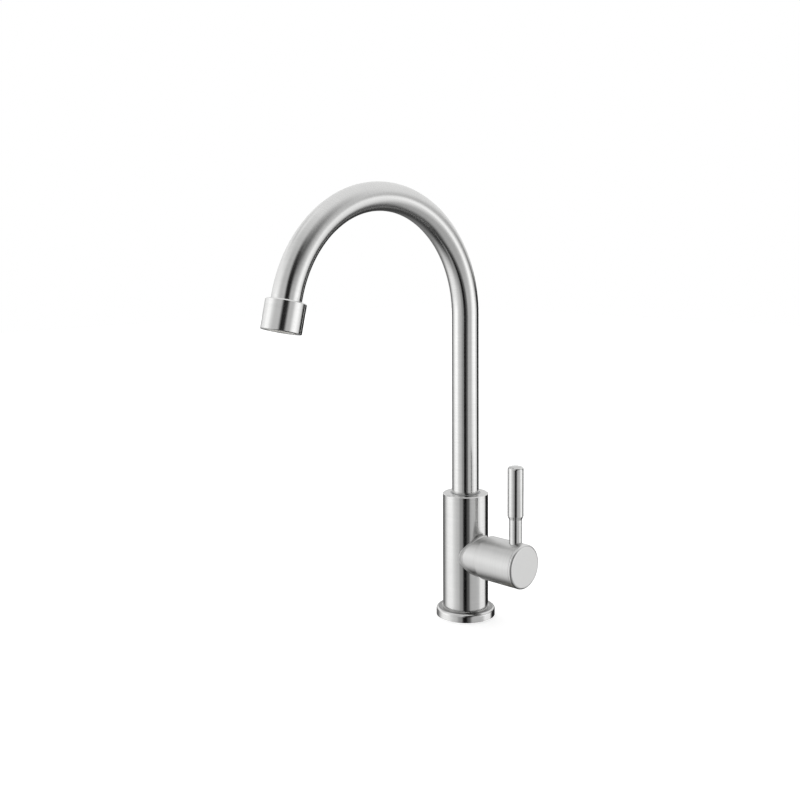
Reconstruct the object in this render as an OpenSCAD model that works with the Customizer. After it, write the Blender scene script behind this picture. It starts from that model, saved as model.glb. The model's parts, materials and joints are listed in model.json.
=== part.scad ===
// Gooseneck kitchen faucet with one side lever, in brushed stainless steel.
// Millimetres. The origin is the centre of the base where it meets the worktop.
// +Z is up, the spout points along -Y and the valve and its lever lie along +X.
// The lever is drawn upright, which is closed. It tips a quarter turn towards -Y to open.

/* [Spout tube] */
// Outside diameter of the spout tube
tube_d = 22; // [21:0.5:23]
// Wall of the spout tube
tube_wall = 1; // [0.8:0.1:1.4]
// Radius of the gooseneck, to the middle of the tube
bend_r = 94; // [80:1:110]
// Angle that the gooseneck turns through
bend_angle = 166.5; // [160:0.5:176]
// Height above the worktop at which the gooseneck starts
bend_start_z = 250; // [220:5:290]
// Straight end of the tube past the gooseneck
tube_tail = 12; // [11:0.5:14]

/* [Spout foot] */
// Length of the foot below the tube
foot_len = 20.5; // [18:0.5:22]
// Length of the foot's spigot inside the tube
foot_spigot = 6; // [4:0.5:9]
// Waterway through the foot
foot_bore_d = 13; // [10:0.5:14]
// Thickness of each seal ring on the foot
foot_ring_t = 2.4; // [1.8:0.1:2.6]
// Height of the lower seal ring above the foot's end
foot_ring_rise = 4.3; // [3:0.1:5]
// Distance between the two seal rings
foot_ring_pitch = 5.5; // [4:0.1:6]
// Height of the retaining groove above the foot's end
foot_groove_rise = 15.7; // [14:0.1:16]
// Width of the retaining groove
foot_groove_w = 3.4; // [3:0.1:4]
// Depth of the retaining groove
foot_groove_depth = 1.8; // [1.2:0.1:2.2]

/* [Body] */
// Outside diameter of the body
body_d = 37.5; // [36:0.5:41]
// Height of the body's top above the worktop
body_top_z = 102.5; // [99:0.5:115]
// Height of the body's lower end above the worktop
body_foot_z = 2; // [1.5:0.5:3]
// Bevel round the body's top
body_bevel = 0.6; // [0.4:0.1:1.2]
// Depth of the socket that takes the spout's foot
socket_depth = 34; // [32:0.5:36]
// Diameter of the outlet chamber under the socket
outlet_d = 17; // [14:0.5:18]
// Diameter of the inlet passages
inlet_d = 9; // [7:0.5:10]
// How far the upright inlet passage lies behind the body's axis
inlet_shift = 4; // [3:0.5:5]
// Metal left between the inlet passage and the outlet chamber
inlet_roof = 1.5; // [1:0.25:2]
// Diameter of the chamber above the tail pipe
sump_d = 14; // [12:0.5:16]
// Height of the chamber above the tail pipe
sump_h = 6; // [4:0.5:8]

/* [Spout bearing] */
// Height of the slip ring in the body's top
slip_ring_h = 7.2; // [6:0.2:8]
// Depth of the slip ring's top below the body's
slip_ring_sink = 0.2; // [0.1:0.1:1.2]
// Wall of the slip ring
slip_ring_wall = 1.3; // [1:0.1:2.2]
// Thickness of the slip washer under the foot
seat_washer_t = 1.2; // [1:0.1:1.5]
// Thread diameter of the screw that keeps the spout in
set_screw_d = 5; // [4:0.5:5]
// Diameter of that screw's tip
set_screw_tip_d = 2.5; // [2:0.1:2.6]
// Depth of that screw's head below the body's surface
set_screw_sink = 0.6; // [0.3:0.1:1]

/* [Base] */
// Diameter of the base ring
flange_d = 48.5; // [47:0.5:56]
// Height of the base ring
flange_h = 7; // [6:0.5:9]
// Rounding of the base ring's upper edge
flange_round = 2.5; // [1:0.25:4.5]
// Bevel on the mouth of the base ring's bore
flange_bore_bevel = 1; // [0.5:0.1:1.5]
// Outside diameter of the base seal
base_seal_d = 42; // [40:0.5:44]
// Inside diameter of the base seal
base_seal_bore = 30; // [26:0.5:33]

/* [Valve arm] */
// Height of the valve's axis above the worktop
valve_z = 52.5; // [48:0.5:56]
// Diameter of the arm
arm_d = 32; // [31.5:0.5:34]
// How far the fixed arm stands out of the body
arm_stub = 6; // [3:0.5:8]
// Diameter of the arm's spigot inside the barrel
spigot_d = 26.4; // [25:0.2:28]
// Length of the spigot
spigot_len = 6; // [5:0.5:8]
// Wall of the slip ring between the spigot and the barrel
arm_ring_t = 1.7; // [1.2:0.1:2]

/* [Headwork] */
// Distance from the body's axis to the valve seat
seat_x = 4; // [3:0.5:5]
// Diameter of the chamber round the headwork
chamber_d = 19.5; // [18.5:0.5:20]
// Thickness of the seat seal
seat_seal_t = 2; // [1.5:0.25:3]
// Waterway through the seat seal
seat_seal_bore = 9.6; // [8:0.2:11]
// Diameter of the headwork's windowed end
cage_d = 17.2; // [16.5:0.1:17.6]
// Length of the headwork's windowed end
cage_len = 10; // [10:0.5:12]
// Thread diameter of the headwork
headwork_thread_d = 20.9; // [20.2:0.1:21.4]
// Thickness of the gasket under the hexagon
gasket_t = 1; // [0.5:0.25:1.5]
// Width across the flats of the hexagon
hexagon_af = 22; // [20:0.5:23]
// Thickness of the hexagon
hexagon_h = 6; // [4:0.5:7]
// Diameter of the neck outside the hexagon
neck_d = 15; // [13:0.5:16]
// Length of the neck
neck_len = 4; // [3:0.5:5]
// Diameter of the two ceramic discs
disc_d = 14.4; // [13.5:0.1:15]
// Thickness of the fixed disc
fixed_disc_t = 3.5; // [3:0.25:4]
// Thickness of the moving disc
moving_disc_t = 3; // [2.5:0.25:3.5]
// Angle of each of the two ports in a disc
port_angle = 78; // [60:2:84]
// Diameter of the solid middle of a disc
disc_hub_d = 3.6; // [3:0.2:4.4]
// Width of the solid rim of a disc
disc_rim = 1.6; // [1.2:0.1:2]
// Width of the key between the spindle and the moving disc
key_w = 3; // [2.5:0.25:3.5]
// Height of that key
key_h = 1.2; // [0.8:0.1:1.4]
// Width of the water windows in the headwork
window_w = 8; // [6:0.5:9]
// Diameter of the spindle
spindle_d = 9.2; // [8.6:0.1:10]
// Thickness of the spindle's foot
spindle_foot_t = 3; // [2.5:0.25:3.25]
// Thickness of each seal ring on the spindle
spindle_ring_t = 1.78; // [1.4:0.02:2]
// Distance from the spindle's foot to its first seal ring
spindle_ring_start = 6; // [4:0.5:8]
// Distance between the two seal rings
spindle_ring_pitch = 5; // [4:0.5:7]
// Thickness of the spring clip
clip_t = 0.8; // [0.6:0.1:1]
// Outside diameter of the spring clip
clip_d = 12.4; // [11:0.2:14]
// Width of the clip's mouth
clip_mouth_w = 5.4; // [4.4:0.2:5.8]
// Depth of the clip's groove
clip_groove_depth = 1.2; // [0.8:0.1:1.4]
// Land between the clip and the spline
spline_land = 1; // [0.8:0.1:1.5]
// Diameter over the spline's teeth
spline_d = 8; // [7.4:0.1:8.4]
// Teeth round the spline
spline_teeth = 20; // [16:2:24]
// Depth of the spline's teeth
spline_depth = 0.5; // [0.3:0.05:0.6]
// Length of the spline
spline_len = 7.5; // [6.5:0.5:8]

/* [Handle barrel] */
// Diameter of the turning barrel
barrel_d = 35.8; // [34.6:0.2:38]
// Length of the turning barrel
barrel_len = 35.6; // [34:0.2:42]
// Bevel round the barrel's inner end
barrel_heel_bevel = 0.9; // [0.4:0.1:1.4]
// Bevel on the barrel's outer end, where the end cap seats
barrel_bevel = 0.3; // [0.1:0.1:0.6]
// Thickness of the end cap's rim
cap_t = 2.4; // [2.2:0.1:3]
// Rounding of the cap's outer edge
cap_round = 2; // [0.4:0.1:2.2]
// Diameter of the end cap's plug
cap_plug_d = 30; // [26:0.5:31]
// Depth of the recess for the end cap's plug
cap_recess = 2; // [1.5:0.25:3]
// Space left under that plug
cap_relief = 0.2; // [0.1:0.1:0.5]
// Thickness of the web that the handle screw pulls on
barrel_web_t = 4; // [3:0.5:4.5]
// Thread diameter of the handle screw
handle_screw_d = 5; // [4:0.5:5.5]
// Length of the handle screw under its head
handle_screw_len = 11; // [9:0.5:12]
// Diameter of the handle screw's head
handle_screw_head_d = 8.5; // [8:0.5:9.5]
// Height of the handle screw's head
handle_screw_head_h = 3; // [2.5:0.25:3.5]

/* [Lever] */
// Distance from the barrel's outer end back to the lever's middle
lever_back = 7.4; // [7:0.1:9]
// Height of the lever's top above the worktop
lever_top_z = 132; // [116:1:150]
// Diameter of the rod
rod_d = 10; // [8:0.5:10.5]
// Depth to which the rod is let into the barrel
rod_seat_depth = 1.6; // [1.2:0.2:2.4]
// Diameter of the rod's threaded end
stud_d = 8; // [6:0.5:8]
// Distance from the valve's axis to the end of the rod's thread
stud_start = 8.5; // [7.5:0.5:10]
// Diameter of the grip
grip_d = 12.6; // [12:0.2:16]
// Length of the grip
grip_len = 42.5; // [30:0.5:45]
// Thickness of the grip's closed top
grip_top_t = 4; // [3:0.5:6]
// Rounding of the grip's upper edge
grip_round = 2.2; // [0.5:0.1:2.6]
// Depth of the taper at the grip's lower end
grip_taper = 1.1; // [0.4:0.1:1.1]
// Length of that taper
grip_taper_len = 2.75; // [1:0.25:4]

/* [Aerator] */
// Outside diameter of the aerator housing
housing_d = 29.4; // [28:0.2:32]
// Length of the housing
housing_len = 22; // [21:0.5:25]
// Distance from the end of the gooseneck to the housing
housing_start = 2.5; // [2:0.5:3.5]
// Bevel round the housing's upper end
housing_bevel = 0.9; // [0.4:0.1:1.2]
// Bevel round the housing's lower end
housing_lip_bevel = 0.4; // [0.2:0.1:0.8]
// Thread diameter inside the housing
housing_thread_d = 24; // [23.8:0.1:24.6]
// Diameter of the outlet
outlet_bore_d = 21.5; // [21:0.1:22]
// Length of the threaded ring past the tube's end
adapter_lip = 2; // [1.5:0.25:3]
// Waterway through the threaded ring
adapter_bore_d = 19; // [17:0.5:19.5]
// Thickness of the aerator's rubber washer
aerator_washer_t = 2; // [1.5:0.25:2.5]
// Thickness of the aerator insert's flange
insert_flange_t = 1.2; // [1:0.1:1.5]
// Wall of the aerator insert
insert_wall = 1; // [0.8:0.1:1.2]
// How far the insert lies inside the outlet
insert_recess = 0.6; // [0.2:0.1:1]
// Thickness of the honeycomb grid
grid_t = 2.5; // [2:0.25:3]
// Width of one honeycomb cell across its flats
grid_cell = 2; // [1.8:0.1:2.4]
// Wall between two honeycomb cells
grid_web = 0.45; // [0.35:0.05:0.6]
// Rings of cells round the middle one
grid_rings = 3; // [2:1:3]
// Distance between the housing's upper end and the threaded ring
adapter_sink = 0.3; // [0.2:0.1:0.6]
// Thickness of the jet plate
jet_plate_t = 1.5; // [1.2:0.1:2]
// Holes round the jet plate
jet_count = 12; // [8:1:16]
// Diameter of one jet hole
jet_d = 1.4; // [1:0.1:1.6]
// Diameter of the ring of jet holes
jet_ring_d = 11.2; // [9:0.2:14]
// Gap between the jet plate and the first screen
screen_gap = 0.3; // [0.2:0.1:0.5]
// Thickness of one mesh screen
screen_t = 0.4; // [0.3:0.05:0.5]
// Distance between the two mesh screens
screen_pitch = 1; // [0.8:0.1:1.4]

/* [Keys] */
// Width across the flats of the set screw's socket
set_screw_key = 2.5; // [2:0.5:2.5]
// Width across the flats of the handle screw's socket
handle_screw_key = 4; // [3:0.5:5]
// Depth of both sockets
key_socket_depth = 2; // [1.5:0.25:2.25]

/* [Mounting under the worktop] */
// Diameter of the threaded tail pipe, a half-inch pipe thread
shank_d = 20.955; // [20:0.005:21.4]
// Waterway through the tail pipe
shank_bore_d = 13; // [11:0.5:14]
// Length of the tail pipe below the worktop's upper face
shank_drop = 55; // [45:1:80]
// Length of the tail pipe inside the body
shank_grip = 14; // [10:0.5:18]
// Length of the thread at the tail pipe's end, where the supply hose screws on
supply_thread_len = 15; // [12:0.5:18]
// Width of the groove above that thread
supply_groove_w = 1.5; // [1:0.25:3]
// Depth of the groove above that thread
supply_groove_depth = 1; // [0.5:0.25:1.5]
// Thickness of the fibre seal above the tail pipe
shank_seal_t = 2; // [1.5:0.25:2.5]
// Thickness of the worktop between the base and the clamp
worktop_t = 12; // [4:1:20]
// Diameter of the rubber washer
rubber_washer_d = 44; // [40:1:48]
// Thickness of the rubber washer
rubber_washer_t = 3; // [2:0.5:4]
// Diameter of the steel washer
steel_washer_d = 40; // [36:1:46]
// Thickness of the steel washer
steel_washer_t = 1.5; // [1:0.25:2.5]
// Width across the flats of the mounting nut
nut_af = 30; // [27:0.5:34]
// Thickness of the mounting nut
nut_h = 9; // [6:0.5:12]
// Bevel on the nut's corners
nut_bevel = 1.6; // [1:0.1:2]

/* [Fits] */
// Gap on the radius where one piece turns in another
run_gap = 0.08; // [0.04:0.01:0.1]
// Gap on the radius where a fixed piece fits another
fit_gap = 0.05; // [0.03:0.01:0.08]
// Gap between the faces of two pieces that turn past each other
face_gap = 0.3; // [0.2:0.05:0.4]
// Gap between the polished faces of the ceramic discs
disc_gap = 0.02; // [0.01:0.01:0.04]

/* [Hidden] */
$fn = 96;

// Colours of the real materials
steel = "#c9c9c7";
steel_dark = "#a9a9a8";
brass = "#c2a35a";
rubber = "#2b2b2b";
slip_plastic = "#b5b7b9";
aerator_plastic = "#e6e4dc";
ceramic = "#f3f1ea";
fibre = "#b8402f";

// A cut runs this far past the face that it opens
cut = 1;
// Space past the end of a thread in its hole
thread_relief = 0.5;

tube_r = tube_d / 2;
tube_bore_r = tube_r - tube_wall;
body_r = body_d / 2;
arm_r = arm_d / 2;
barrel_r = barrel_d / 2;
shank_r = shank_d / 2;

// Heights in the body's socket, from its floor up
socket_r = tube_r + run_gap;
socket_floor_z = body_top_z - socket_depth;
foot_z = socket_floor_z + seat_washer_t + face_gap;
foot_ring_levels = [for (i = [0, 1]) foot_ring_rise + i * foot_ring_pitch];
tube_foot_z = foot_z + foot_len;
set_screw_z = foot_z + foot_groove_rise;
set_screw_r = set_screw_d / 2;
outlet_floor_z = valve_z + inlet_d / 2 + inlet_roof;
shank_top_z = body_foot_z + shank_grip;
sump_z = shank_top_z + shank_seal_t;

// Distances along the valve's axis, from the body's axis outwards
cage_x = seat_x + seat_seal_t;
thread_x = cage_x + cage_len;
arm_face_x = body_r + arm_stub;
spigot_x = arm_face_x + spigot_len;
hexagon_x = spigot_x + gasket_t;
neck_x = hexagon_x + hexagon_h;
neck_end_x = neck_x + neck_len;
moving_disc_x = cage_x + fixed_disc_t + disc_gap;
spindle_foot_x = moving_disc_x + moving_disc_t;
spindle_shaft_x = spindle_foot_x + spindle_foot_t;
spindle_ring_levels = [
    for (i = [0, 1]) spindle_shaft_x + spindle_ring_start + i * spindle_ring_pitch
];
clip_x = neck_end_x + face_gap;
spline_x = clip_x + clip_t + spline_land;
spindle_end_x = spline_x + spline_len;
barrel_x = arm_face_x + face_gap;
barrel_end_x = barrel_x + barrel_len;
screw_seat_x = spindle_end_x + barrel_web_t;
cap_recess_x = barrel_end_x - cap_recess;
cap_end_x = barrel_end_x + cap_t;
lever_x = barrel_end_x - lever_back;

disc_r = disc_d / 2;
disc_hub_r = disc_hub_d / 2;
disc_seat_r = disc_r + run_gap;
spindle_r = spindle_d / 2;
spindle_bore_r = spindle_r + run_gap;
spindle_ring_seat_r = spindle_bore_r - spindle_ring_t;
clip_seat_r = spindle_r - clip_groove_depth;
slip_bore_r = spigot_d / 2 + arm_ring_t + run_gap;
headwork_thread_r = headwork_thread_d / 2;

// Distances along the outlet, from the end of the gooseneck outwards
adapter_start = housing_start + adapter_sink;
adapter_end = tube_tail + adapter_lip;
insert_start = adapter_end + aerator_washer_t;
insert_seat = insert_start + insert_flange_t;
housing_end = housing_start + housing_len;
insert_end = housing_end - insert_recess;
insert_r = outlet_bore_d / 2 - fit_gap;
insert_bore_r = insert_r - insert_wall;
housing_thread_r = housing_thread_d / 2;
grid_pitch = grid_cell + grid_web;

// Levels below the worktop's upper face
rubber_washer_z = -worktop_t - rubber_washer_t;
steel_washer_z = rubber_washer_z - steel_washer_t;
nut_z = steel_washer_z - nut_h;

// Shared shapes

// A ring from z = 0 up
module ring(outer_r, inner_r, h) {
    difference() {
        cylinder(r = outer_r, h = h);
        translate([0, 0, -cut])
            cylinder(r = inner_r, h = h + 2 * cut);
    }
}

// A cylinder from one level to another
module stack(r, low, high) {
    translate([0, 0, low])
        cylinder(r = r, h = high - low);
}

// A seal ring of round section that fills a groove between two radii
module round_ring(outer_r, t, z) {
    translate([0, 0, z])
        rotate_extrude()
            translate([outer_r - t / 2, 0])
                circle(d = t, $fn = 48);
}

// A bevelled disc end: cut away from whatever reaches the level z at radius r
module top_bevel(r, bevel, z) {
    translate([0, 0, z])
        rotate_extrude()
            polygon([
                [r - bevel, 0], [r + cut, -bevel - cut],
                [r + cut, cut], [r - bevel, cut]
            ]);
}

// The same bevel at a lower end
module bottom_bevel(r, bevel, z) {
    translate([0, 0, z])
        mirror([0, 0, 1])
            top_bevel(r, bevel, 0);
}

// A hexagonal prism with two flats facing the local X axis
module hexagon(af, h) {
    rotate([0, 0, 30])
        cylinder(d = af / cos(30), h = h, $fn = 6);
}

// Puts local +Z along the valve's axis. Local -X then points up.
module on_valve_axis() {
    translate([0, 0, valve_z])
        rotate([0, 90, 0])
            children();
}

// Puts local +Z along the outlet, from the end of the gooseneck
module at_outlet() {
    translate([0, -bend_r, bend_start_z])
        rotate([bend_angle, 0, 0])
            translate([0, bend_r, 0])
                children();
}

// Two opposite sectors, as in the ports of a ceramic disc
module port_sectors(inner_r, outer_r, angle, h) {
    for (side = [0, 180])
        rotate([0, 0, side])
            linear_extrude(height = h)
                difference() {
                    intersection() {
                        circle(r = outer_r);
                        polygon([
                            [0, 0],
                            [2 * outer_r * cos(angle / 2), -2 * outer_r * sin(angle / 2)],
                            [2 * outer_r * cos(angle / 2), 2 * outer_r * sin(angle / 2)]
                        ]);
                    }
                    circle(r = inner_r);
                }
}

// Outline of the spline, grown by a clearance
function spline_outline(grow) = [
    for (tooth = [0 : spline_teeth - 1], flank = [0 : 3])
        let (
            step = 360 / spline_teeth,
            at = step * (tooth + [0, 0.25, 0.5, 0.75][flank]),
            r = spline_d / 2 + grow - (flank > 1 ? spline_depth : 0)
        )
        [r * cos(at), r * sin(at)]
];

// Body

// The turned body, with the socket for the spout, the valve chamber and the water passages
module body_shell() {
    color(steel)
        difference() {
            stack(body_r, body_foot_z, body_top_z);
            top_bevel(body_r, body_bevel, body_top_z);
            stack(socket_r, socket_floor_z, body_top_z + cut);
            stack(socket_r + slip_ring_wall + fit_gap, body_top_z - slip_ring_sink - slip_ring_h,
                body_top_z + cut);
            stack(outlet_d / 2, outlet_floor_z, socket_floor_z + cut);
            stack(shank_r + fit_gap, body_foot_z - cut, sump_z);
            stack(sump_d / 2, sump_z - cut, sump_z + sump_h);
            translate([-inlet_shift, 0, 0])
                stack(inlet_d / 2, sump_z + sump_h - cut, valve_z);
            on_valve_axis() {
                stack(inlet_d / 2, -inlet_shift, seat_x + cut);
                stack(chamber_d / 2, seat_x, body_d);
                stack(headwork_thread_r + fit_gap, thread_x, body_d);
            }
            translate([0, 0, set_screw_z])
                rotate([-90, 0, 0])
                    stack(set_screw_r + fit_gap, socket_r - cut, body_d);
        }
}

// The boss on the body's side: its inner end is cut to the body's curve
module valve_arm() {
    color(steel)
        difference() {
            on_valve_axis() {
                stack(arm_r, 0, arm_face_x);
                stack(spigot_d / 2, arm_face_x - cut, spigot_x);
            }
            stack(body_r, 0, body_top_z);
            on_valve_axis()
                stack(headwork_thread_r + fit_gap, 0, spigot_x + cut);
        }
}

// The base ring, with a rolled upper edge and a recess for its seal
module base_flange() {
    color(steel)
        difference() {
            rotate_extrude() {
                square([flange_d / 2 - flange_round, flange_h]);
                square([flange_d / 2, flange_h - flange_round]);
                translate([flange_d / 2 - flange_round, flange_h - flange_round])
                    circle(r = flange_round);
            }
            stack(body_r + fit_gap, body_foot_z - cut, flange_h + cut);
            translate([0, 0, flange_h - flange_bore_bevel])
                cylinder(r1 = body_r + fit_gap, r2 = body_r + fit_gap + flange_bore_bevel + cut,
                    h = flange_bore_bevel + cut);
            stack(base_seal_d / 2 + fit_gap, -flange_h, body_foot_z);
        }
}

// The rubber seal that the body presses on the worktop
module base_gasket() {
    color(rubber)
        ring(base_seal_d / 2, base_seal_bore / 2, body_foot_z);
}

// Mounting under the worktop

// The hollow threaded tail pipe, which also brings the water in
module mounting_shank() {
    color(brass)
        translate([0, 0, -shank_drop])
            difference() {
                ring(shank_r, shank_bore_d / 2, shank_drop + shank_top_z);
                translate([0, 0, supply_thread_len])
                    ring(shank_d, shank_r - supply_groove_depth, supply_groove_w);
            }
}

module shank_seal() {
    color(fibre)
        translate([0, 0, shank_top_z])
            ring(shank_r, shank_bore_d / 2, shank_seal_t);
}

module deck_rubber_washer() {
    color(rubber)
        translate([0, 0, rubber_washer_z])
            ring(rubber_washer_d / 2, shank_r + face_gap, rubber_washer_t);
}

module deck_steel_washer() {
    color(steel_dark)
        translate([0, 0, steel_washer_z])
            ring(steel_washer_d / 2, shank_r + face_gap, steel_washer_t);
}

// The nut that clamps the worktop, bevelled on both faces
module mounting_nut() {
    nut_r = nut_af / 2 / cos(30);
    color(brass)
        translate([0, 0, nut_z])
            difference() {
                intersection() {
                    hexagon(nut_af, nut_h);
                    rotate_extrude()
                        polygon([
                            [0, 0], [nut_r - nut_bevel, 0], [nut_r, nut_bevel * tan(30)],
                            [nut_r, nut_h - nut_bevel * tan(30)], [nut_r - nut_bevel, nut_h], [0, nut_h]
                        ]);
                }
                stack(shank_r + fit_gap, -cut, nut_h + cut);
            }
}

// Spout bearing

// The plastic ring in the body's top that the tube turns in
module spout_glide_ring() {
    color(slip_plastic)
        translate([0, 0, body_top_z - slip_ring_sink - slip_ring_h])
            ring(socket_r + slip_ring_wall, socket_r, slip_ring_h);
}

// The slip washer on the socket's floor
module spout_seat_washer() {
    color(slip_plastic)
        translate([0, 0, socket_floor_z])
            ring(socket_r - fit_gap, outlet_d / 2, seat_washer_t);
}

// The dog-point screw that keeps the spout in, from the back of the body
module spout_set_screw() {
    shoulder = socket_r + face_gap;
    tip = tube_r - foot_groove_depth + face_gap;
    head = body_r - set_screw_sink;
    color(steel_dark)
        translate([0, 0, set_screw_z])
            rotate([-90, 0, 0])
                difference() {
                    union() {
                        stack(set_screw_r, shoulder, head);
                        stack(set_screw_tip_d / 2, tip, shoulder + cut);
                    }
                    translate([0, 0, head - key_socket_depth])
                        hexagon(set_screw_key, key_socket_depth + cut);
                }
}

// Headwork

// The brass headwork: windowed cage, thread, hexagon and neck
module cartridge_body() {
    color(brass)
        on_valve_axis()
            difference() {
                union() {
                    stack(cage_d / 2, cage_x, thread_x + cut);
                    stack(headwork_thread_r, thread_x, hexagon_x);
                    translate([0, 0, hexagon_x])
                        hexagon(hexagon_af, hexagon_h);
                    stack(neck_d / 2, neck_x - cut, neck_end_x);
                }
                stack(disc_seat_r, cage_x - cut, spindle_shaft_x + run_gap);
                stack(spindle_bore_r, cage_x, neck_end_x + cut);
                translate([-cage_d, -window_w / 2, moving_disc_x])
                    cube([2 * cage_d, window_w, spindle_shaft_x - moving_disc_x]);
            }
}

module cartridge_gasket() {
    color(fibre)
        on_valve_axis()
            translate([0, 0, spigot_x])
                ring(spigot_d / 2, headwork_thread_r + fit_gap, gasket_t);
}

// The rubber ring between the seat in the body and the fixed disc
module seat_seal() {
    color(rubber)
        on_valve_axis()
            translate([0, 0, seat_x])
                ring(cage_d / 2, seat_seal_bore / 2, seat_seal_t);
}

// The disc that stays still: its ports face up and down
module fixed_ceramic_disc() {
    color(ceramic)
        on_valve_axis()
            translate([0, 0, cage_x])
                difference() {
                    cylinder(r = disc_r, h = fixed_disc_t);
                    translate([0, 0, -cut])
                        port_sectors(disc_hub_r, disc_r - disc_rim, port_angle, fixed_disc_t + 2 * cut);
                }
}

// The disc that turns: drawn closed, a quarter turn from the fixed one
module moving_ceramic_disc() {
    color(ceramic)
        on_valve_axis()
            translate([0, 0, moving_disc_x])
                difference() {
                    cylinder(r = disc_r, h = moving_disc_t);
                    rotate([0, 0, 90])
                        translate([0, 0, -cut])
                            port_sectors(disc_hub_r, disc_r - disc_rim, port_angle,
                                moving_disc_t + 2 * cut);
                    translate([-disc_r - cut, -key_w / 2 - fit_gap, moving_disc_t - key_h - fit_gap])
                        cube([2 * disc_r + 2 * cut, key_w + 2 * fit_gap, key_h + cut]);
                }
}

// The spindle: keyed foot, two grooves for seals, one for the clip, spline and screw hole
module spindle() {
    color(brass)
        on_valve_axis()
            difference() {
                union() {
                    translate([0, 0, spindle_foot_x])
                        difference() {
                            cylinder(r = disc_r, h = spindle_foot_t);
                            rotate([0, 0, 90])
                                translate([0, 0, -cut])
                                    port_sectors(spindle_r, disc_d, port_angle,
                                        spindle_foot_t + 2 * cut);
                        }
                    intersection() {
                        stack(disc_r - disc_rim, spindle_foot_x - key_h, spindle_foot_x + cut);
                        translate([-disc_r, -key_w / 2, spindle_foot_x - key_h])
                            cube([disc_d, key_w, key_h + cut]);
                    }
                    stack(spindle_r, spindle_foot_x, spline_x);
                    translate([0, 0, spline_x - cut])
                        linear_extrude(height = spline_len + cut)
                            polygon(spline_outline(0));
                }
                for (at = spindle_ring_levels)
                    translate([0, 0, at - spindle_ring_t / 2 - fit_gap])
                        ring(disc_r, spindle_ring_seat_r, spindle_ring_t + 2 * fit_gap);
                translate([0, 0, clip_x - fit_gap])
                    ring(disc_r, clip_seat_r, clip_t + 2 * fit_gap);
                stack(handle_screw_d / 2, screw_seat_x - handle_screw_len - thread_relief,
                    spindle_end_x + cut);
            }
}

// The two seal rings on the spindle
module spindle_o_rings() {
    color(rubber)
        on_valve_axis()
            for (at = spindle_ring_levels)
                round_ring(spindle_bore_r - disc_gap, spindle_ring_t - disc_gap, at);
}

// The open spring ring that stops the spindle from sliding in
module spindle_clip() {
    color(steel_dark)
        on_valve_axis()
            translate([0, 0, clip_x])
                difference() {
                    ring(clip_d / 2, clip_seat_r + fit_gap, clip_t);
                    translate([0, -clip_mouth_w / 2, -cut])
                        cube([clip_d, clip_mouth_w, clip_t + 2 * cut]);
                }
}

// Handle

// The slip ring on the arm's spigot that centres the barrel
module arm_glide_ring() {
    color(slip_plastic)
        on_valve_axis()
            translate([0, 0, arm_face_x])
                ring(spigot_d / 2 + arm_ring_t, spigot_d / 2, spigot_len);
}

// The turning barrel: a cavity over the headwork, a splined web and the seat of the lever
module handle_barrel() {
    color(steel)
        difference() {
            on_valve_axis()
                difference() {
                    stack(barrel_r, barrel_x, barrel_end_x);
                    bottom_bevel(barrel_r, barrel_heel_bevel, barrel_x);
                    top_bevel(barrel_r, barrel_bevel, barrel_end_x);
                    stack(slip_bore_r, barrel_x - cut, spline_x);
                    translate([0, 0, spline_x - cut])
                        linear_extrude(height = spline_len + cut + face_gap)
                            polygon(spline_outline(fit_gap));
                    stack(handle_screw_d / 2 + face_gap, spline_x, barrel_end_x);
                    stack(handle_screw_head_d / 2 + face_gap, screw_seat_x, barrel_end_x);
                    stack(cap_plug_d / 2 + fit_gap, cap_recess_x, barrel_end_x + cut);
                }
            translate([lever_x, 0, valve_z]) {
                stack(stud_d / 2 + fit_gap, stud_start - thread_relief, barrel_d);
                stack(rod_d / 2 + fit_gap, barrel_r - rod_seat_depth, barrel_d);
            }
        }
}

// The screw that holds the barrel on the spindle
module handle_screw() {
    color(steel_dark)
        on_valve_axis()
            difference() {
                union() {
                    stack(handle_screw_d / 2 - fit_gap, screw_seat_x - handle_screw_len, screw_seat_x + cut);
                    stack(handle_screw_head_d / 2, screw_seat_x, screw_seat_x + handle_screw_head_h);
                }
                translate([0, 0, screw_seat_x + handle_screw_head_h - key_socket_depth])
                    hexagon(handle_screw_key, key_socket_depth + cut);
            }
}

// The flat disc that closes the barrel
module handle_end_cap() {
    color(steel)
        on_valve_axis() {
            stack(cap_plug_d / 2, cap_recess_x + cap_relief, barrel_end_x + cut);
            rotate_extrude() {
                translate([0, barrel_end_x])
                    square([barrel_r - cap_round, cap_t]);
                translate([0, barrel_end_x])
                    square([barrel_r, cap_t - cap_round]);
                translate([barrel_r - cap_round, cap_end_x - cap_round])
                    intersection() {
                        circle(r = cap_round);
                        square(cap_round);
                    }
            }
        }
}

// The lever's rod, screwed into the barrel
module lever_rod() {
    color(steel)
        translate([lever_x, 0, 0]) {
            stack(stud_d / 2, valve_z + stud_start, valve_z + barrel_r);
            stack(rod_d / 2, valve_z + barrel_r - rod_seat_depth, lever_top_z - grip_top_t);
        }
}

// The grip: a closed sleeve pressed on the rod
module lever_grip() {
    grip_r = grip_d / 2;
    grip_z = lever_top_z - grip_len;
    color(steel)
        translate([lever_x, 0, 0])
            difference() {
                rotate_extrude() {
                    polygon([
                        [0, grip_z], [grip_r - grip_taper, grip_z], [grip_r, grip_z + grip_taper_len],
                        [grip_r, lever_top_z - grip_round], [0, lever_top_z - grip_round]
                    ]);
                    translate([0, lever_top_z - grip_round - cut])
                        square([grip_r - grip_round, grip_round + cut]);
                    translate([grip_r - grip_round, lever_top_z - grip_round])
                        circle(r = grip_round);
                }
                stack(rod_d / 2 + fit_gap, grip_z - cut, lever_top_z - grip_top_t);
            }
}

// Spout

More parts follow.
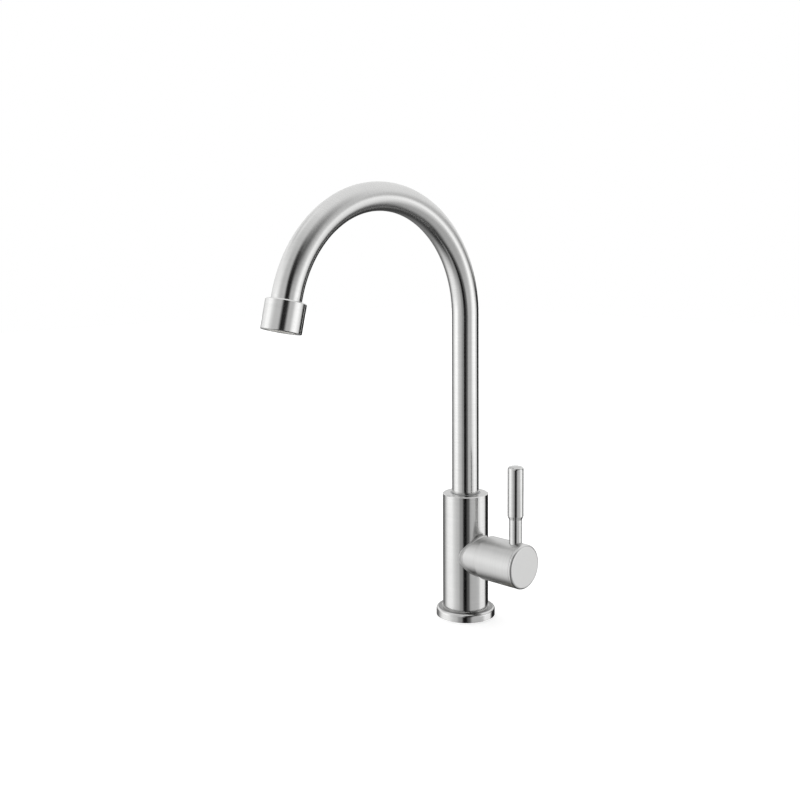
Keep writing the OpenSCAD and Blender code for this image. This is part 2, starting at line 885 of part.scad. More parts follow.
// A bent rod along the middle of the spout: riser, gooseneck and a short straight end,
// which is turned down by a hair for the threaded ring that is brazed on it
module spout_path(r, past_ends) {
    stack(r, tube_foot_z - past_ends, bend_start_z);
    translate([0, -bend_r, bend_start_z])
        rotate([90, 0, 90])
            rotate_extrude(angle = bend_angle)
                translate([bend_r, 0])
                    circle(r = r);
    at_outlet()
        stack(r - fit_gap, -cut, tube_tail + past_ends);
}

// The spout: one bent tube
module spout_tube() {
    color(steel)
        difference() {
            spout_path(tube_r, 0);
            spout_path(tube_bore_r, cut);
        }
}

// The turned plug in the tube's lower end, with grooves for two seals and for the set screw
module spout_foot() {
    color(brass)
        translate([0, 0, foot_z])
            difference() {
                union() {
                    stack(tube_r, 0, foot_len);
                    stack(tube_bore_r - fit_gap, foot_len - cut, foot_len + foot_spigot);
                }
                stack(foot_bore_d / 2, -cut, foot_len + foot_spigot + cut);
                for (at = foot_ring_levels)
                    translate([0, 0, at - foot_ring_t / 2 - fit_gap])
                        ring(body_d, socket_r - foot_ring_t, foot_ring_t + 2 * fit_gap);
                translate([0, 0, foot_groove_rise - foot_groove_w / 2])
                    ring(body_d, tube_r - foot_groove_depth, foot_groove_w);
            }
}

// The two seal rings on the spout's foot
module spout_o_rings() {
    color(rubber)
        translate([0, 0, foot_z])
            for (at = foot_ring_levels)
                round_ring(socket_r - disc_gap, foot_ring_t - disc_gap, at);
}

// Aerator

// The threaded ring brazed round the tube's end
module aerator_adapter() {
    color(steel_dark)
        at_outlet()
            difference() {
                stack(housing_thread_r - fit_gap, adapter_start, adapter_end);
                stack(tube_r, adapter_start - cut, tube_tail);
                stack(adapter_bore_d / 2, tube_tail - cut, adapter_end + cut);
            }
}

// The collar that screws on and holds the insert
module aerator_housing() {
    color(steel)
        at_outlet()
            difference() {
                stack(housing_d / 2, housing_start, housing_end);
                bottom_bevel(housing_d / 2, housing_bevel, housing_start);
                top_bevel(housing_d / 2, housing_lip_bevel, housing_end);
                stack(housing_thread_r, housing_start - cut, insert_seat);
                stack(outlet_bore_d / 2, insert_seat - cut, housing_end + cut);
            }
}

module aerator_washer() {
    color(rubber)
        at_outlet()
            translate([0, 0, adapter_end])
                ring(housing_thread_r - fit_gap, adapter_bore_d / 2, aerator_washer_t);
}

// The jet plate that breaks the water up
module aerator_diffuser() {
    color(aerator_plastic)
        at_outlet()
            translate([0, 0, insert_start])
                difference() {
                    cylinder(r = insert_bore_r - fit_gap, h = jet_plate_t);
                    for (i = [0 : jet_count - 1])
                        rotate([0, 0, i * 360 / jet_count])
                            translate([jet_ring_d / 2, 0, -cut])
                                cylinder(d = jet_d, h = jet_plate_t + 2 * cut, $fn = 24);
                }
}

// The two fine mesh discs, plain discs here
module aerator_screens() {
    color(steel_dark)
        at_outlet()
            for (i = [0, 1])
                translate([0, 0, insert_start + jet_plate_t + screen_gap + i * screen_pitch])
                    cylinder(r = insert_bore_r - fit_gap, h = screen_t);
}

// The insert: a flanged sleeve with a honeycomb grid across its outlet
module aerator_insert() {
    color(aerator_plastic)
        at_outlet()
            difference() {
                union() {
                    stack(housing_thread_r - fit_gap, insert_start, insert_seat);
                    stack(insert_r, insert_start, insert_end);
                }
                stack(insert_bore_r, insert_start - cut, insert_end - grid_t);
                translate([0, 0, insert_end - grid_t - cut])
                    honeycomb(grid_t + 2 * cut);
            }
}

// Hexagonal cells in rings round a middle one
module honeycomb(h) {
    for (row = [-grid_rings : grid_rings], col = [-grid_rings : grid_rings])
        if (abs(row + col) <= grid_rings)
            translate([(col + row / 2) * grid_pitch, row * grid_pitch * sin(60), 0])
                hexagon(grid_cell, h);
}

body_shell();
valve_arm();
base_flange();
base_gasket();
mounting_shank();
shank_seal();
deck_rubber_washer();
deck_steel_washer();
mounting_nut();
spout_glide_ring();
spout_seat_washer();
spout_set_screw();
cartridge_body();
cartridge_gasket();
seat_seal();
fixed_ceramic_disc();
arm_glide_ring();
spout_tube();
spout_foot();
spout_o_rings();
aerator_adapter();
aerator_housing();
aerator_washer();
aerator_diffuser();
aerator_screens();
aerator_insert();
spindle();
moving_ceramic_disc();
spindle_o_rings();
spindle_clip();
handle_barrel();
handle_screw();
handle_end_cap();
lever_rod();
lever_grip();
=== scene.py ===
import json
import math

import bpy
from mathutils import Matrix, Vector


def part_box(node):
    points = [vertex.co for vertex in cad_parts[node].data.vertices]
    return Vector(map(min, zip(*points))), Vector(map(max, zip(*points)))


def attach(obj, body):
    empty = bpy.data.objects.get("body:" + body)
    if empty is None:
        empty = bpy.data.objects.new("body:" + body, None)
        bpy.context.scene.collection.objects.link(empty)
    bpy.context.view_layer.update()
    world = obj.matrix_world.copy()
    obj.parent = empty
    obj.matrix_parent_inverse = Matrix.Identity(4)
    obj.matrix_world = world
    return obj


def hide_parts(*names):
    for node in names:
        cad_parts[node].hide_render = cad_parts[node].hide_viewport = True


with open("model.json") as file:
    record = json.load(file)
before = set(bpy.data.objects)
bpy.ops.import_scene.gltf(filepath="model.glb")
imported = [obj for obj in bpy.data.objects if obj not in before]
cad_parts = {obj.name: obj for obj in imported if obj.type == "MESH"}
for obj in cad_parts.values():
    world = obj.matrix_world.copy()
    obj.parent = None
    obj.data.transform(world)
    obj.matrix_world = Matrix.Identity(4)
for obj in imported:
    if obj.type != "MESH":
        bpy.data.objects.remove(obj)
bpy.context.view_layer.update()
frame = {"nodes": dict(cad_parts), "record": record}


# Base ring
# A stainless ring turned from bar and brushed round, with a rounded edge; its flat top is darkened
# with painted shade. It hides the hole in the worktop, and the body that stands in it holds it down.

def feed(tree, slot, value):
    """Puts a plain value, or another step's result, on a shader input."""
    if isinstance(value, bpy.types.NodeSocket):
        tree.links.new(value, slot)
    else:
        slot.default_value = value


def numbers(tree, operation, *values):
    """One sum with numbers."""
    step = tree.nodes.new("ShaderNodeMath")
    step.operation = operation
    for slot, value in zip(step.inputs, values):
        feed(tree, slot, value)
    return step.outputs["Value"]


def vectors(tree, operation, *values):
    """One sum with vectors. Of SCALE the second value is a number."""
    step = tree.nodes.new("ShaderNodeVectorMath")
    step.operation = operation
    slots = step.inputs
    if operation == "SCALE":
        slots = (step.inputs[0], step.inputs["Scale"])
    for slot, value in zip(slots, values):
        feed(tree, slot, value)
    gives_number = operation in ("DOT_PRODUCT", "LENGTH")
    return step.outputs["Value" if gives_number else "Vector"]


def spread(tree, value, low, high, start, end, soft=False):
    """Maps the stretch from low to high onto the one from start to end."""
    step = tree.nodes.new("ShaderNodeMapRange")
    step.interpolation_type = "SMOOTHSTEP" if soft else "LINEAR"
    feed(tree, step.inputs["Value"], value)
    limits = {"From Min": low, "From Max": high, "To Min": start, "To Max": end}
    for slot, number in limits.items():
        step.inputs[slot].default_value = number
    return step.outputs["Result"]


def noise(tree, place, scale, detail=3.0):
    """Cloudy noise from 0 to 1, which seldom leaves 0.3 to 0.7."""
    step = tree.nodes.new("ShaderNodeTexNoise")
    step.inputs["Scale"].default_value = scale
    step.inputs["Detail"].default_value = detail
    tree.links.new(place, step.inputs["Vector"])
    return step.outputs["Fac"]


def vary(tree, cloud, usual, swing):
    """Turns noise into a value that strays from the usual one by the swing, up and down."""
    return spread(tree, cloud, 0.3, 0.7, usual - swing, usual + swing)


def new_material(name):
    """A material with its tree, its shader and the place on the piece, in metres."""
    made = bpy.data.materials.new(name)
    made.use_nodes = True
    tree = made.node_tree
    spot = tree.nodes.new("ShaderNodeTexCoord").outputs["Object"]
    return made, tree, tree.nodes["Principled BSDF"], spot


def relief(tree, shader, height, depth, strength=1.0):
    """Raises and sinks the surface by a height from 0 to 1."""
    bump = tree.nodes.new("ShaderNodeBump")
    bump.inputs["Strength"].default_value = strength
    bump.inputs["Distance"].default_value = depth
    tree.links.new(height, bump.inputs["Height"])
    tree.links.new(bump.outputs["Normal"], shader.inputs["Normal"])


scratches_per_metre = 5000.0
scratch_wander = 2.2
scratch_depth = 0.000004
streak_scale = 0.15
metal_clouds_per_metre = 60.0


def scratch_rings(tree, way_round, along, level):
    """Where to read noise, so that it changes slowly round a piece and quickly along it."""
    rings = vectors(tree, "SCALE", along, numbers(tree, "MULTIPLY", level, scratches_per_metre))
    return vectors(tree, "ADD", vectors(tree, "SCALE", way_round, scratch_wander), rings)


def brushed_metal(tree, shader, spot, way_round, rings, tone, roughness, grain, duller=0.0):
    """Metal with scratches that all run round it, so that its gloss spreads across them."""
    scratches = noise(tree, rings, 1.0)
    streaks = noise(tree, rings, streak_scale, detail=2.0)
    clouds = noise(tree, spot, metal_clouds_per_metre)
    shader.inputs["Metallic"].default_value = 1.0
    shader.inputs["Anisotropic"].default_value = grain
    # The shader's tangent runs along the scratches, and a quarter turn spreads the gloss across.
    shader.inputs["Anisotropic Rotation"].default_value = 0.25
    to_world = tree.nodes.new("ShaderNodeVectorTransform")
    to_world.vector_type = "VECTOR"
    to_world.convert_from = "OBJECT"
    to_world.convert_to = "WORLD"
    tree.links.new(way_round, to_world.inputs["Vector"])
    tree.links.new(to_world.outputs["Vector"], shader.inputs["Tangent"])
    shade = vary(tree, scratches, 1.0, 0.03)
    shade = numbers(tree, "MULTIPLY", shade, vary(tree, clouds, 1.0, 0.02))
    shade = numbers(tree, "MULTIPLY", shade, vary(tree, streaks, 1.0, 0.025))
    tree.links.new(vectors(tree, "SCALE", tone, shade), shader.inputs["Base Color"])
    rough = vary(tree, scratches, roughness, 0.03)
    rough = numbers(tree, "ADD", rough, vary(tree, clouds, 0.0, 0.015))
    tree.links.new(numbers(tree, "ADD", rough, duller), shader.inputs["Roughness"])
    relief(tree, shader, scratches, scratch_depth)


def turned_metal(name, centre, along, tone, roughness, grain=0.8, painted_end_shade=0.7):
    """Metal turned and brushed round one axis. Faces that look along the axis get painted shade."""
    made, tree, shader, spot = new_material(name)
    from_centre = vectors(tree, "SUBTRACT", spot, centre)
    around = vectors(tree, "CROSS_PRODUCT", along, from_centre)
    from_axis = vectors(tree, "LENGTH", around)
    level = vectors(tree, "DOT_PRODUCT", from_centre, along)
    way_round = vectors(tree, "NORMALIZE", around)
    rings = scratch_rings(tree, way_round, along, numbers(tree, "ADD", from_axis, level))
    outward = tree.nodes.new("ShaderNodeTexCoord").outputs["Normal"]
    end_on = numbers(tree, "ABSOLUTE", vectors(tree, "DOT_PRODUCT", outward, along))
    # Faces that look along the axis get a darker colour, which is painted shade.
    shade = spread(tree, end_on, 0.80, 0.98, 1.0, painted_end_shade, soft=True)
    toned = vectors(tree, "SCALE", tone, shade)
    brushed_metal(tree, shader, spot, way_round, rings, toned, roughness, grain)
    return made


def paint(material, *names):
    """Gives CAD nodes one material all over."""
    for name in names:
        frame["nodes"][name].material_slots[0].material = material


upward = (0.0, 0.0, 1.0)
middle = (0.0, 0.0, 0.0)
steel_tone = (0.638, 0.638, 0.633)
# Its flat top gets strong painted shade.
base_ring_steel = turned_metal("base_ring_steel", middle, upward, steel_tone,
                               roughness=0.15, painted_end_shade=0.3)
paint(base_ring_steel, "base_flange")


# Body
# One stainless bar, bored from both ends and from the side, and brushed round. A small
# bevel runs round its top. It stands in the base ring and carries the spout and the valve.

steel_roughness = 0.17
upright_steel = turned_metal("upright_brushed_steel", middle, upward, steel_tone, steel_roughness)
paint(upright_steel, "body_shell")


# Base seal, tail pipe and clamp
# A black rubber ring seals the worktop. The brass tail pipe screws into the body and goes
# through the worktop, where a rubber washer, a steel washer and a brass nut pull it down.

grains_per_cloud = 12


def moulded(name, colour, roughness, grain_per_metre, grain_depth, mottle=0.04):
    """Rubber, plastic, ceramic or fibre: one colour, lightly mottled, with a fine grain."""
    made, tree, shader, spot = new_material(name)
    grain = noise(tree, spot, grain_per_metre)
    clouds = noise(tree, spot, grain_per_metre / grains_per_cloud)
    shade = vary(tree, grain, 1.0, mottle)
    shade = numbers(tree, "MULTIPLY", shade, vary(tree, clouds, 1.0, mottle))
    tree.links.new(vectors(tree, "SCALE", colour, shade), shader.inputs["Base Color"])
    tree.links.new(vary(tree, clouds, roughness, 0.05), shader.inputs["Roughness"])
    relief(tree, shader, grain, grain_depth, strength=0.6)
    return made


black_rubber = moulded("moulded_black_rubber", (0.03, 0.03, 0.03),
                       roughness=0.65, grain_per_metre=2500.0, grain_depth=0.00003)
paint(black_rubber, "base_gasket", "deck_rubber_washer")

red_fibre = moulded("pressed_red_fibre", (0.42, 0.08, 0.05),
                    roughness=0.75, grain_per_metre=1800.0, grain_depth=0.00004, mottle=0.12)
paint(red_fibre, "shank_seal")

dull_steel_tone = (0.55, 0.55, 0.55)
washer_steel = turned_metal("pressed_washer_steel", middle, upward, dull_steel_tone,
                            roughness=0.36, grain=0.4)
paint(washer_steel, "deck_steel_washer")

brass_tone = (0.72, 0.55, 0.25)
upright_brass = turned_metal("turned_brass", middle, upward, brass_tone, roughness=0.30, grain=0.6)
paint(upright_brass, "mounting_nut")

pipe_low, pipe_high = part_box("mounting_shank")
pipe_length = pipe_high[2] - pipe_low[2]
pipe_radius = pipe_high[0]
pipe_bore_radius = 0.0065
thread_pitch = 0.001814
thread_depth = 0.0009
flank_slope = 1.3
end_bevel = 0.0010
supply_thread_length = 0.015
groove_width = 0.0015
groove_depth = 0.001
groove_low = pipe_low[2] + supply_thread_length
groove_high = groove_low + groove_width
steps_per_turn = 96
steps_per_thread = 8


def thread_radius(level, turn):
    """Radius of the tail pipe's outside at one level and one share of a turn."""
    if groove_low <= level <= groove_high:
        return pipe_radius - groove_depth
    from_root = abs(2 * ((level / thread_pitch - turn) % 1.0) - 1)
    # A slope above 1 leaves the thread flat at its root and at its crest.
    depth = thread_depth * min(1.0, max(0.0, 0.5 + flank_slope * (0.5 - from_root)))
    from_end = min(level - pipe_low[2], pipe_high[2] - level)
    return pipe_radius - max(depth, end_bevel - from_end)


def circle_point(radius, turn):
    """Where a circle round the origin is at one share of a turn."""
    return radius * math.cos(math.tau * turn), radius * math.sin(math.tau * turn)


def band(lower, upper, count):
    """Faces between two rings of points, seen from outside when the upper ring is above."""
    faces = []
    for i in range(count):
        beside = (i + 1) % count
        faces.append((lower + i, lower + beside, upper + beside, upper + i))
    return faces


def solid(name, points, faces, material, body):
    """A new piece of mesh that rides on a body."""
    mesh = bpy.data.meshes.new(name)
    mesh.from_pydata(points, [], faces)
    mesh.materials.append(material)
    mesh.shade_smooth()
    piece = bpy.data.objects.new(name, mesh)
    bpy.context.scene.collection.objects.link(piece)
    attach(piece, body)
    return piece


level_count = round(pipe_length / thread_pitch * steps_per_thread)
levels = [pipe_low[2] + pipe_length * i / level_count for i in range(level_count + 1)]
turns = [i / steps_per_turn for i in range(steps_per_turn)]
pipe_points = []
for level in levels:
    for turn in turns:
        pipe_points.append((*circle_point(thread_radius(level, turn), turn), level))
for level in (levels[0], levels[-1]):
    for turn in turns:
        pipe_points.append((*circle_point(pipe_bore_radius, turn), level))

# The wall runs up the outside, over the top, down the bore and back to the first ring.
*outside, bore_low, bore_high = [i * steps_per_turn for i in range(level_count + 3)]
wall = [*outside, bore_high, bore_low, outside[0]]
pipe_faces = []
for lower, upper in zip(wall, wall[1:]):
    pipe_faces += band(lower, upper, steps_per_turn)
tail_pipe = solid("threaded_tail_pipe", pipe_points, pipe_faces, upright_brass, "base")
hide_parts("mounting_shank")


# Spout bearing
# The tube turns in a grey plastic ring let into the body's top and stands on a thin plastic
# washer. A dog-point screw at the back runs in the groove of the spout's foot.

grey_plastic = moulded("moulded_grey_acetal", (0.46, 0.47, 0.48),
                       roughness=0.42, grain_per_metre=3000.0, grain_depth=0.00001)
paint(grey_plastic, "spout_glide_ring", "spout_seat_washer", "arm_glide_ring")

backward = (0.0, 1.0, 0.0)
screw_low, screw_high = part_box("spout_set_screw")
screw_middle = (0.0, 0.0, (screw_low[2] + screw_high[2]) / 2)
screw_tone = (0.42, 0.42, 0.43)
set_screw_steel = turned_metal("set_screw_steel", screw_middle, backward, screw_tone,
                               roughness=0.32, grain=0.4)
paint(set_screw_steel, "spout_set_screw")


# Valve arm and headwork
# The arm is a stainless ring cut to the body's curve and brazed on, with a small seam. The brass
# headwork screws into it and holds two lapped ceramic discs, which a brass spindle turns.

handle_turn = frame["record"]["behaviour"]["joints"][1]
valve_z = handle_turn["pos_m"][2]
valve_middle = (0.0, 0.0, valve_z)
sideways = (1.0, 0.0, 0.0)
satin_tone = (0.585, 0.585, 0.580)
sideways_steel = turned_metal("sideways_brushed_steel", valve_middle, sideways, satin_tone,
                              roughness=0.38, grain=0.4)
paint(sideways_steel, "valve_arm")

# The seam is a hollow fillet, sunk a little into the corner between body and arm.
body_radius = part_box("body_shell")[1][1]
arm_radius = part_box("valve_arm")[1][1]
seam_size = 0.0011
seam_sunk = 0.0002
seam_steps = 6
seam_profile = [(-seam_sunk, -seam_sunk)]
for i in range(seam_steps + 1):
    lean = math.radians(90) * i / seam_steps
    seam_profile.append((seam_size * (1 - math.cos(lean)), seam_size * (1 - math.sin(lean))))
seam_points = []
for turn in turns:
    for off_arm, off_body in seam_profile:
        across, up = circle_point(arm_radius + off_arm, turn)
        reach = math.sqrt(body_radius ** 2 - across ** 2) + off_body
        seam_points.append((reach, across, valve_z + up))
count = len(seam_profile)
seam_faces = []
for i in range(steps_per_turn):
    seam_faces += band(i * count, (i + 1) % steps_per_turn * count, count)
solid("arm_braze_seam", seam_points, seam_faces, sideways_steel, "base")

sideways_brass = turned_metal("turned_headwork_brass", valve_middle, sideways, brass_tone,
                              roughness=0.28, grain=0.6)
paint(sideways_brass, "cartridge_body", "spindle")

ceramic = moulded("lapped_ceramic", (0.88, 0.87, 0.83),
                  roughness=0.25, grain_per_metre=4000.0, grain_depth=0.000004, mottle=0.015)
paint(ceramic, "fixed_ceramic_disc", "moving_ceramic_disc")

spring_tone = (0.50, 0.50, 0.51)
spring_steel = turned_metal("spring_clip_steel", valve_middle, sideways, spring_tone,
                            roughness=0.30, grain=0.4)
paint(spring_steel, "spindle_clip", "handle_screw")
paint(black_rubber, "seat_seal", "spindle_o_rings")
paint(red_fibre, "cartridge_gasket")


# Handle barrel, end cap and lever
# The barrel is stainless bar, brushed lightly round, and turns on the arm. Its cap has a satin
# face and a smooth round edge. The rod screws into the barrel and the grip is pressed on it.

paint(sideways_steel, "handle_barrel")

cap_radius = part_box("handle_end_cap")[1][1]
smooth_from = cap_radius - 0.0022
smooth_to = cap_radius - 0.0016
edge_roughness_share = 0.8

satin_grain_per_metre = 9000.0
satin_roughness = 0.39
satin_depth = 0.000004

satin_face, tree, shader, spot = new_material("satin_end_face")
shader.inputs["Metallic"].default_value = 1.0
satin_grain = noise(tree, spot, satin_grain_per_metre)
satin_shade = vectors(tree, "SCALE", steel_tone, vary(tree, satin_grain, 1.0, 0.03))
tree.links.new(satin_shade, shader.inputs["Base Color"])
from_valve = vectors(tree, "SUBTRACT", spot, valve_middle)
from_axis = vectors(tree, "LENGTH", vectors(tree, "MULTIPLY", from_valve, (0.0, 1.0, 1.0)))
smoother = spread(tree, from_axis, smooth_from, smooth_to, 1.0, edge_roughness_share)
rough = numbers(tree, "MULTIPLY", vary(tree, satin_grain, satin_roughness, 0.03), smoother)
tree.links.new(rough, shader.inputs["Roughness"])
relief(tree, shader, satin_grain, satin_depth)
paint(satin_face, "handle_end_cap")

rod_low, rod_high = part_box("lever_rod")
lever_middle = ((rod_low[0] + rod_high[0]) / 2, 0.0, 0.0)
lever_steel = turned_metal("lever_brushed_steel", lever_middle, upward, steel_tone, roughness=0.14)
paint(lever_steel, "lever_rod", "lever_grip")


# Spout
# One stainless tube, bent over a former and then brushed round its section, a little duller
# towards the top. A brass foot with two rubber seals is brazed into its lower end.

bend_radius = 0.094
bend_start = 0.250
bend_angle = math.radians(166.5)
duller_from = 0.010
duller_to = 0.085
duller_by = 0.11

spout_steel, tree, shader, spot = new_material("bent_tube_brushed_steel")
from_bend = vectors(tree, "SUBTRACT", spot, (0.0, -bend_radius, bend_start))
split = tree.nodes.new("ShaderNodeSeparateXYZ")
tree.links.new(from_bend, split.inputs["Vector"])
back = split.outputs["Y"]
height = split.outputs["Z"]

# The tube's own direction: straight up below the bend, and round the bend above its start.
bent = numbers(tree, "GREATER_THAN", height, 0.0)
round_bend = vectors(tree, "NORMALIZE", vectors(tree, "CROSS_PRODUCT", sideways, from_bend))
straight_part = vectors(tree, "SCALE", upward, numbers(tree, "SUBTRACT", 1.0, bent))
bent_part = vectors(tree, "SCALE", round_bend, bent)
lengthwise = vectors(tree, "ADD", bent_part, straight_part)
outward = tree.nodes.new("ShaderNodeTexCoord").outputs["Normal"]
way_round = vectors(tree, "NORMALIZE", vectors(tree, "CROSS_PRODUCT", lengthwise, outward))

# How far along the tube a spot lies, from the start of the bend.
angle = numbers(tree, "ARCTAN2", height, back)
bend_length = numbers(tree, "MULTIPLY", numbers(tree, "MULTIPLY", angle, bend_radius), bent)
below_bend = numbers(tree, "MINIMUM", height, 0.0)
along_tube = numbers(tree, "ADD", bend_length, below_bend)

rings = scratch_rings(tree, way_round, upward, along_tube)
duller = spread(tree, height, duller_from, duller_to, 0.0, duller_by, soft=True)
brushed_metal(tree, shader, spot, way_round, rings, steel_tone,
              roughness=0.155, grain=0.6, duller=duller)
paint(spout_steel, "spout_tube")
paint(upright_brass, "spout_foot")
paint(black_rubber, "spout_o_rings")


# Aerator
# A threaded steel ring is brazed round the tube's end. The stainless collar screws on it and
# holds a rubber washer, a jet plate, two woven screens and the honeycomb insert.

to_bend = Matrix.Translation((0, -bend_radius, bend_start))
at_outlet = to_bend @ Matrix.Rotation(bend_angle, 4, "X") @ Matrix.Translation((0, bend_radius, 0))
outlet = tuple(at_outlet @ Vector((0, 0, 0)))
outlet_way = tuple(at_outlet.to_3x3() @ Vector((0, 0, 1)))
collar_tone = (0.668, 0.668, 0.663)
collar_steel = turned_metal("collar_brushed_steel", outlet, outlet_way, collar_tone, steel_roughness)
paint(collar_steel, "aerator_housing")
ring_steel = turned_metal("threaded_ring_steel", outlet, outlet_way, dull_steel_tone,
                          roughness=0.34, grain=0.4)
paint(ring_steel, "aerator_adapter")
paint(black_rubber, "aerator_washer")
white_plastic = moulded("moulded_white_acetal", (0.82, 0.81, 0.77),
                        roughness=0.45, grain_per_metre=3000.0, grain_depth=0.00001)
paint(white_plastic, "aerator_diffuser", "aerator_insert")

screen_radius = 0.00962
screen_levels = (0.01800, 0.01900)
wire_width = 0.00018
wire_pitch = 0.00080
wire_wave = 0.00009
wire_corners = ((-1, -1), (1, -1), (1, 1), (-1, 1))
steps_per_pitch = 2


def woven_wire(offset, level, crosswise, over):
    """One wavy wire of square section across a screen: its points and faces."""
    reach = math.sqrt(screen_radius ** 2 - offset ** 2) - wire_width
    count = max(2, round(2 * reach / wire_pitch * steps_per_pitch))
    points = []
    for i in range(count + 1):
        run = -reach + 2 * reach * i / count
        wave = wire_wave * math.cos(math.pi * (run / wire_pitch + over))
        for side, lift in wire_corners:
            across = offset + side * wire_width / 2
            up = level + wave + lift * wire_width / 2
            points.append(Vector((run, across, up) if crosswise else (across, run, up)))
    corners = len(wire_corners)
    last = corners * count
    faces = []
    for start in range(0, last, corners):
        faces += band(start, start + corners, corners)
    faces += [(0, 1, 2, 3), (last + 3, last + 2, last + 1, last)]
    if crosswise:
        faces = [face[::-1] for face in faces]
    return points, faces


# Each screen has wires both ways, which pass over and under each other by turns.
screen_points, screen_faces = [], []
wire_rows = int((screen_radius - 2 * wire_width) / wire_pitch)
for level in screen_levels:
    for row in range(-wire_rows, wire_rows + 1):
        for crosswise in (False, True):
            points, faces = woven_wire(row * wire_pitch, level, crosswise, row + crosswise)
            first = len(screen_points)
            screen_points += [at_outlet @ point for point in points]
            screen_faces += [tuple(first + i for i in face) for face in faces]
screens = solid("woven_screens", screen_points, screen_faces, ring_steel, "spout")
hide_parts("aerator_screens")


# Floor, light and camera
# A white studio: a pale floor, a large silk overhead and a white wall behind, a long soft box
# on each side and a black flag in front, which draws the dark line down the middle of the tap.

camera_turn = math.radians(45.32)
to_camera = (math.sin(camera_turn), -math.cos(camera_turn), 0.0)
to_right = (math.cos(camera_turn), math.sin(camera_turn), 0.0)

room = bpy.data.worlds.new("studio")
room.use_nodes = True
bpy.context.scene.world = room
tree = room.node_tree
tree.nodes.clear()
looking = tree.nodes.new("ShaderNodeTexCoord").outputs["Generated"]
ahead = vectors(tree, "DOT_PRODUCT", looking, to_camera)
aside = vectors(tree, "DOT_PRODUCT", looking, to_right)
bearing = numbers(tree, "DEGREES", numbers(tree, "ARCTAN2", aside, ahead))
climb = vectors(tree, "DOT_PRODUCT", looking, upward)
rise = numbers(tree, "DEGREES", numbers(tree, "ARCSINE", climb))

# Each card is a patch of the room that stays where it is when the camera moves: its bearing from
# the photo's side of the tap, half its width, how soft its sides are, its lowest and highest
# rise, how soft these are, all in degrees, and its brightness. A later card covers earlier ones.
cards = [
    (180, 75, 20, -90, -24, 12, 0.07),    # dark floor behind the tap
    (0, 200, 5, 50, 120, 28, 1.03),       # silk overhead
    (177, 60, 30, 48, 130, 12, 1.15),     # the silk's far half, over the wall
    (-117, 20, 8, 49, 68, 6, 1.15),       # the silk's left edge
    (177, 49, 22, 3, 120, 4, 1.05),       # white wall behind
    (-120, 36, 12, 2, 31, 7, 1.10),       # screen on the left behind the tap
    (-168, 16, 14, -12, 10, 5, 0.82),     # foot of the wall, lit from the left
    (-147, 27, 16, -60, -14, 18, 0.26),   # left side of the dark floor, a little lighter
    (-45, 36, 10, -50, 62, 26, 0.72),     # fill on the left of the camera
    (-93, 31, 22, -53, 46, 22, 1.24),     # soft box on the left
    (-86, 15, 7, -13, 15, 6, 1.56),       # its bright middle
    (62, 48, 8, -64, 20, 13, 0.57),       # fill on the right of the camera
    (60, 36, 10, -19, 12, 5, 0.70),       # its bright middle
    (112, 44, 28, 14, 75, 14, 1.05),      # high wall on the right
    (94, 21, 9, -27, -4, 14, 1.32),       # soft box on the right
    (75, 19, 12, -11, 3, 6, 1.60),        # its bright middle
    (-25, 9, 7, -90, 2, 4, 0.40),         # shade on the left of the flag
    (9, 8, 6, -90, 2, 4, 0.13),           # shade on its right
    (-7, 10, 6, -90, 2, 4, 0.003),        # lower half of the black flag in front
    (11.5, 13.5, 8.5, 0, 50, 7, 0.02),    # its upper half
]
bare_room = 0.01
glow = bare_room
for at, half, blur, low, high, fade, bright in cards:
    turned_off = numbers(tree, "WRAP", numbers(tree, "SUBTRACT", bearing, at), 180.0, -180.0)
    off = numbers(tree, "ABSOLUTE", turned_off)
    between_sides = spread(tree, off, half - blur, half + blur, 1.0, 0.0, soft=True)
    above = spread(tree, rise, low - fade, low + fade, 0.0, 1.0, soft=True)
    below = spread(tree, rise, high - fade, high + fade, 1.0, 0.0, soft=True)
    share = numbers(tree, "MULTIPLY", between_sides, numbers(tree, "MULTIPLY", above, below))
    rest = numbers(tree, "MULTIPLY", glow, numbers(tree, "SUBTRACT", 1.0, share))
    glow = numbers(tree, "ADD", rest, numbers(tree, "MULTIPLY", share, bright))

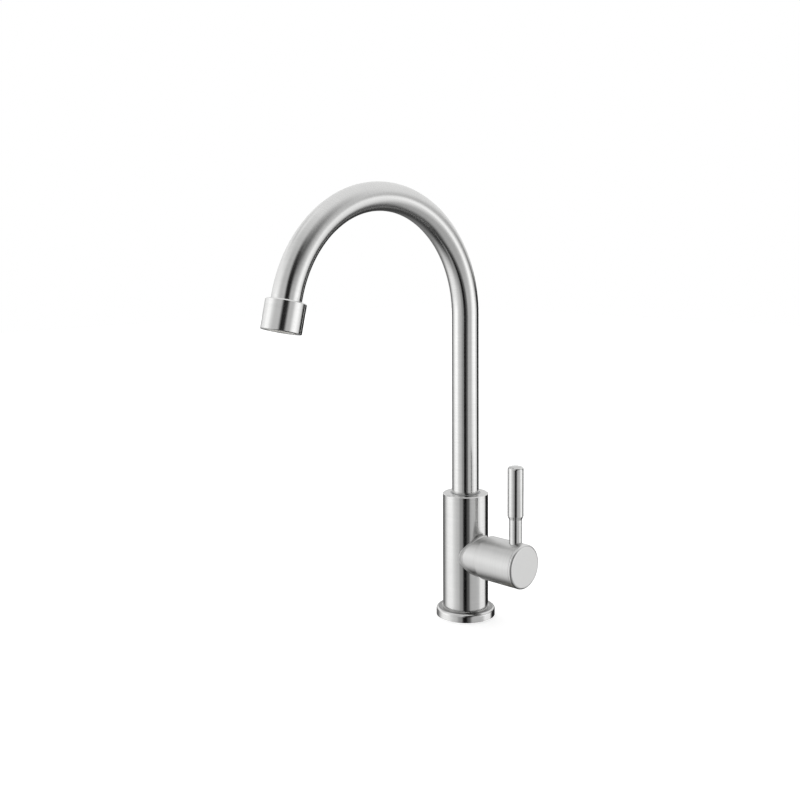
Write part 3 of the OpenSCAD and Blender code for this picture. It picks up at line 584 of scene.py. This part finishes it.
# The tap is lit by the cards and mirrors them, and the picture's background is plain white.
studio = tree.nodes.new("ShaderNodeBackground")
tree.links.new(glow, studio.inputs["Color"])
studio.inputs["Strength"].default_value = 1.0
white = tree.nodes.new("ShaderNodeBackground")
white.inputs["Color"].default_value = (1, 1, 1, 1)
white.inputs["Strength"].default_value = 1.0
ways = tree.nodes.new("ShaderNodeLightPath")
seen = numbers(tree, "MAXIMUM", ways.outputs["Is Camera Ray"], ways.outputs["Is Transmission Ray"])
choice = tree.nodes.new("ShaderNodeMixShader")
tree.links.new(seen, choice.inputs["Fac"])
tree.links.new(studio.outputs["Background"], choice.inputs[1])
tree.links.new(white.outputs["Background"], choice.inputs[2])
output = tree.nodes.new("ShaderNodeOutputWorld")
tree.links.new(choice.outputs["Shader"], output.inputs["Surface"])

# The floor isn't mirrored in the metal, because the cards reach down to stand for it. To the
# camera its paper glows a little, so that it looks white round the tap's shadow.
paper_lift = 0.45
bpy.ops.mesh.primitive_plane_add(size=6.0, location=(0, 0, 0))
floor = bpy.context.object
floor.name = "floor"
floor.visible_glossy = False
paper = bpy.data.materials.new("white_paper")
paper.use_nodes = True
tree = paper.node_tree
shader = tree.nodes["Principled BSDF"]
shader.inputs["Base Color"].default_value = (0.9, 0.9, 0.9, 1)
shader.inputs["Roughness"].default_value = 1.0
shader.inputs["Specular IOR Level"].default_value = 0.0
shader.inputs["Emission Color"].default_value = (1, 1, 1, 1)
ways = tree.nodes.new("ShaderNodeLightPath")
lift = numbers(tree, "MULTIPLY", ways.outputs["Is Camera Ray"], paper_lift)
tree.links.new(lift, shader.inputs["Emission Strength"])
floor.data.materials.append(paper)

# The camera stands in the photo's place, looks slightly down and leans a little to one side.
camera_place = (0.5906, -0.6590, 0.3109)
camera_down = math.radians(4.73)
camera_roll = math.radians(-0.374)
lens = bpy.data.cameras.new("camera")
lens.lens = 48.754
lens.sensor_width = 36.0
lens.shift_y = -0.0875
camera = bpy.data.objects.new("camera", lens)
bpy.context.scene.collection.objects.link(camera)
camera.location = camera_place
gaze = Matrix.Rotation(camera_turn, 4, "Z") @ Matrix.Rotation(math.radians(90) - camera_down, 4, "X")
camera.rotation_euler = (gaze @ Matrix.Rotation(camera_roll, 4, "Z")).to_euler()
bpy.context.scene.camera = camera
bpy.context.scene.view_settings.view_transform = "Standard"
